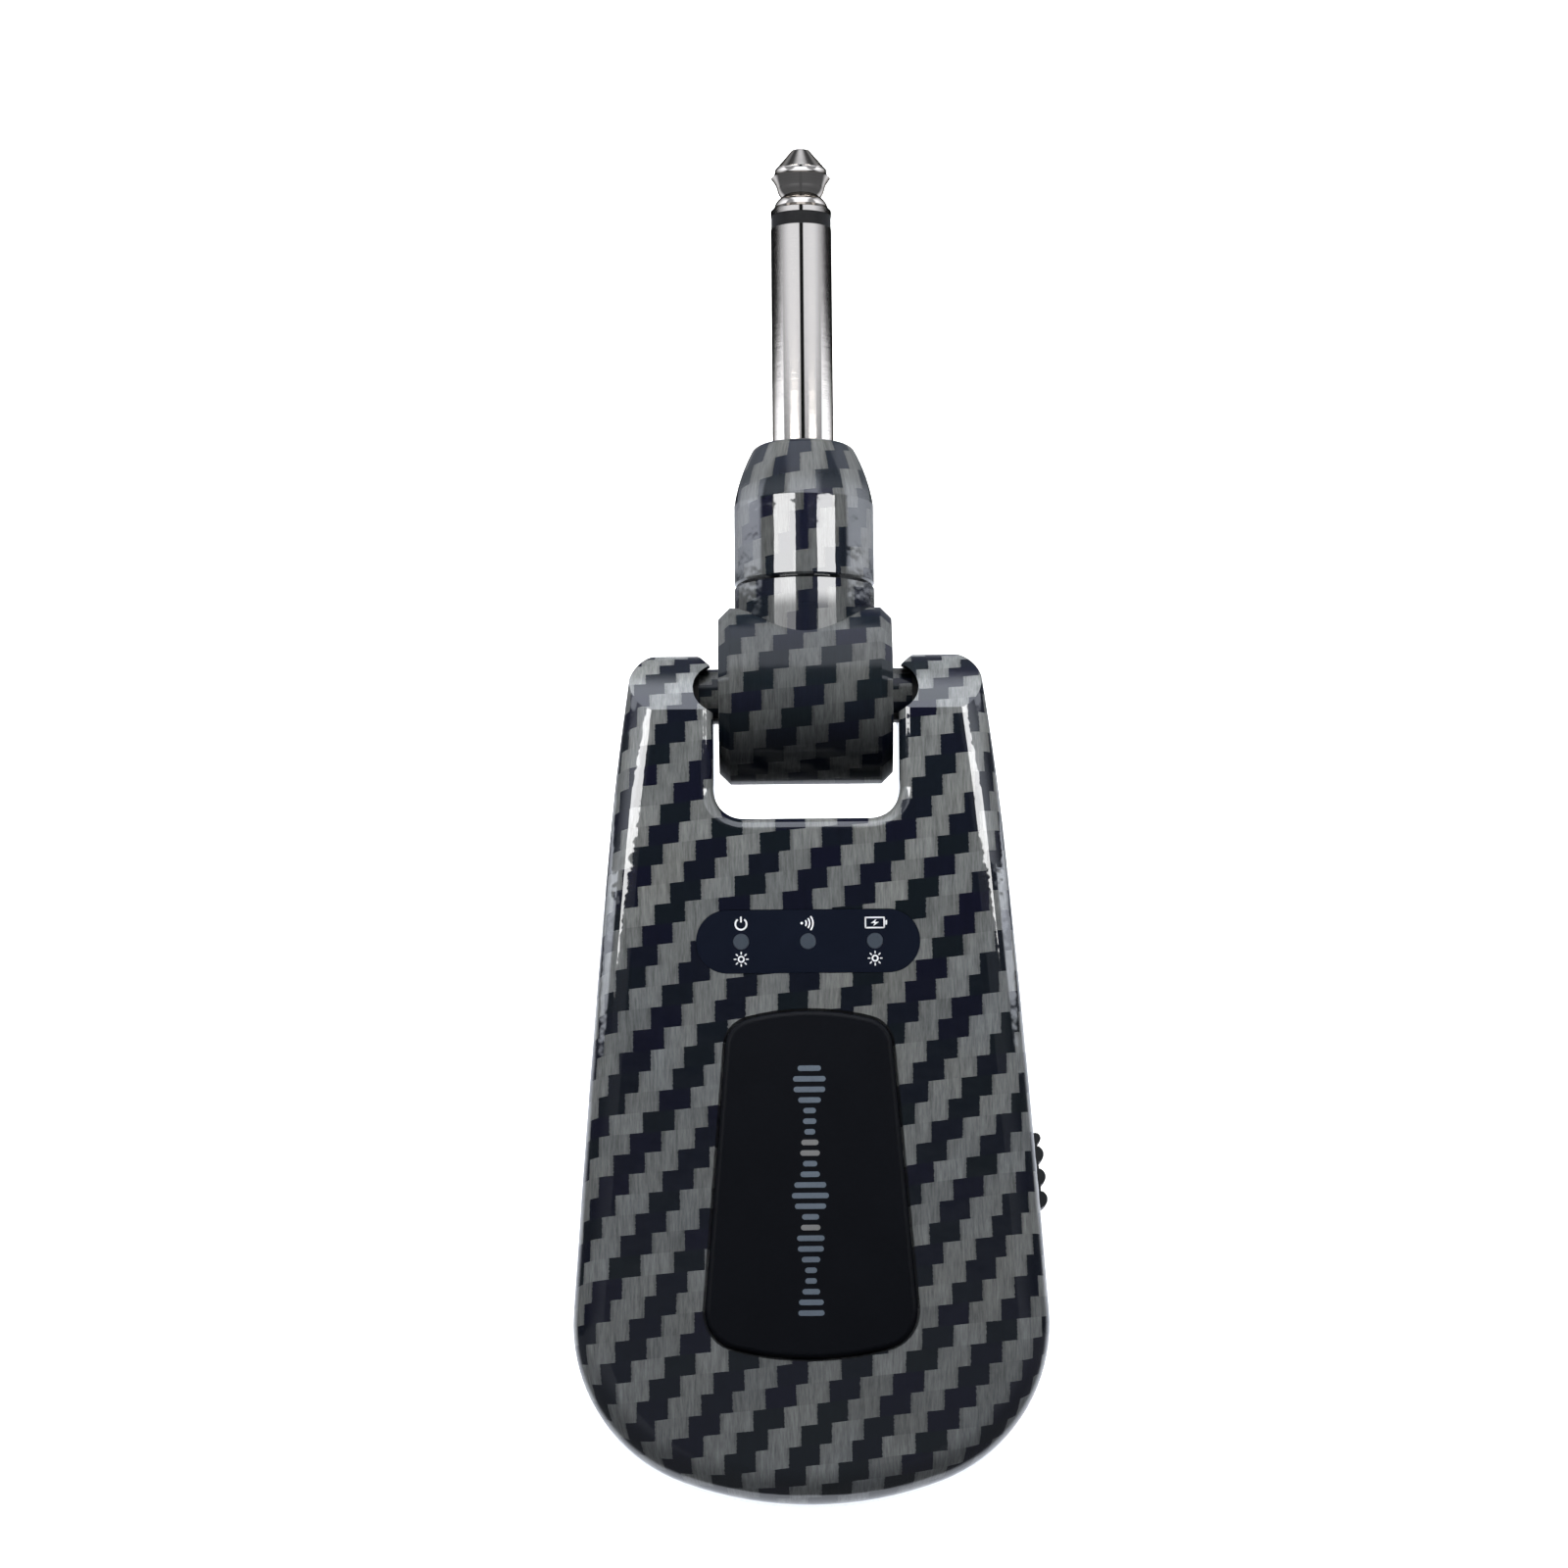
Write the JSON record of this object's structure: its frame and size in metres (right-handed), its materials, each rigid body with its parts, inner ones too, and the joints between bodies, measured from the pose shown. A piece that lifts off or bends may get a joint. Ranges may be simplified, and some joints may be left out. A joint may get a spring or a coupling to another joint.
{
  "type": "folding wireless guitar transmitter",
  "caption": "Pocket wireless transmitter for an instrument: a flared two-shell case with a jack plug on a friction hinge, lamp window, badge and side slide switch.",
  "frame": {"origin": "centre of the flat rear face, on which the object lies", "axes": "+Z out of the front face with the lamps and badge, +Y towards the tip of the unfolded plug, +X towards the side with the slide switch"},
  "size_m": [0.0483, 0.1418, 0.019],
  "materials": {
    "carbon_print": "glossy clear coat over a printed twill",
    "badge_black": "satin black",
    "window_smoke": "gloss smoke",
    "lens_grey": "frosted grey",
    "plug_chrome": "polished nickel",
    "black_nylon": "moulded",
    "brass_nut": "turned",
    "brass_bush": "turned",
    "rubber_black": "moulded",
    "knob_black": "moulded",
    "tin_plate": "tinned",
    "socket_steel": "drawn shell",
    "board_green": "solder mask",
    "led_white": "clear resin",
    "chip_black": "moulded epoxy",
    "ceramic_white": "fired ceramic",
    "battery_foil": "laminated pouch foil",
    "foam_white": "foam tape",
    "wire_red": "PVC sleeve",
    "wire_black": "PVC sleeve",
    "screw_steel": "blackened steel"
  },
  "bodies": {
    "housing": {"antenna": "ceramic_white", "badge_plate": "badge_black", "battery_cell": "battery_foil", "battery_leads": "wire_red", "battery_pad": "foam_white", "board_screws": "screw_steel", "board_wires": "wire_black", "charger_chip": "chip_black", "charging_led": "led_white", "charging_light_pipe": "lens_grey", "codec_chip": "chip_black", "front_shell": "carbon_print", "indicator_window": "window_smoke", "ir_lens": "lens_grey", "ir_receiver": "chip_black", "main_board": "board_green", "pivot_bush_left": "brass_bush", "pivot_bush_right": "brass_bush", "power_led": "led_white", "power_light_pipe": "lens_grey", "radio_shield": "tin_plate", "rear_shell": "carbon_print", "shell_screws": "screw_steel", "slide_switch_body": "tin_plate", "usb_socket": "socket_steel"},
    "arm": {"friction_washer_left": "rubber_black", "friction_washer_right": "rubber_black", "hinge_arm": "carbon_print", "nose_cap": "carbon_print", "plug_nut": "brass_nut", "plug_sleeve": "plug_chrome", "plug_tip": "plug_chrome", "rear_insulator": "black_nylon", "sleeve_lug": "brass_nut", "sleeve_wire": "wire_black", "tip_insulator": "black_nylon", "tip_lug": "brass_nut", "tip_wire": "wire_red"},
    "switch": {"switch_knob": "knob_black", "switch_lever": "black_nylon"}
  },
  "joints": [
    {"name": "plug_fold", "type": "hinge", "parent": "housing", "child": "arm", "pos_m": [0, 0.043, 0.0098], "axis": [1, 0, 0], "range_deg": [-110, 110]},
    {"name": "power_switch", "type": "slide", "parent": "housing", "child": "switch", "axis": [0.072, -0.9974, 0], "range_m": [0, 0.002]}
  ]
}
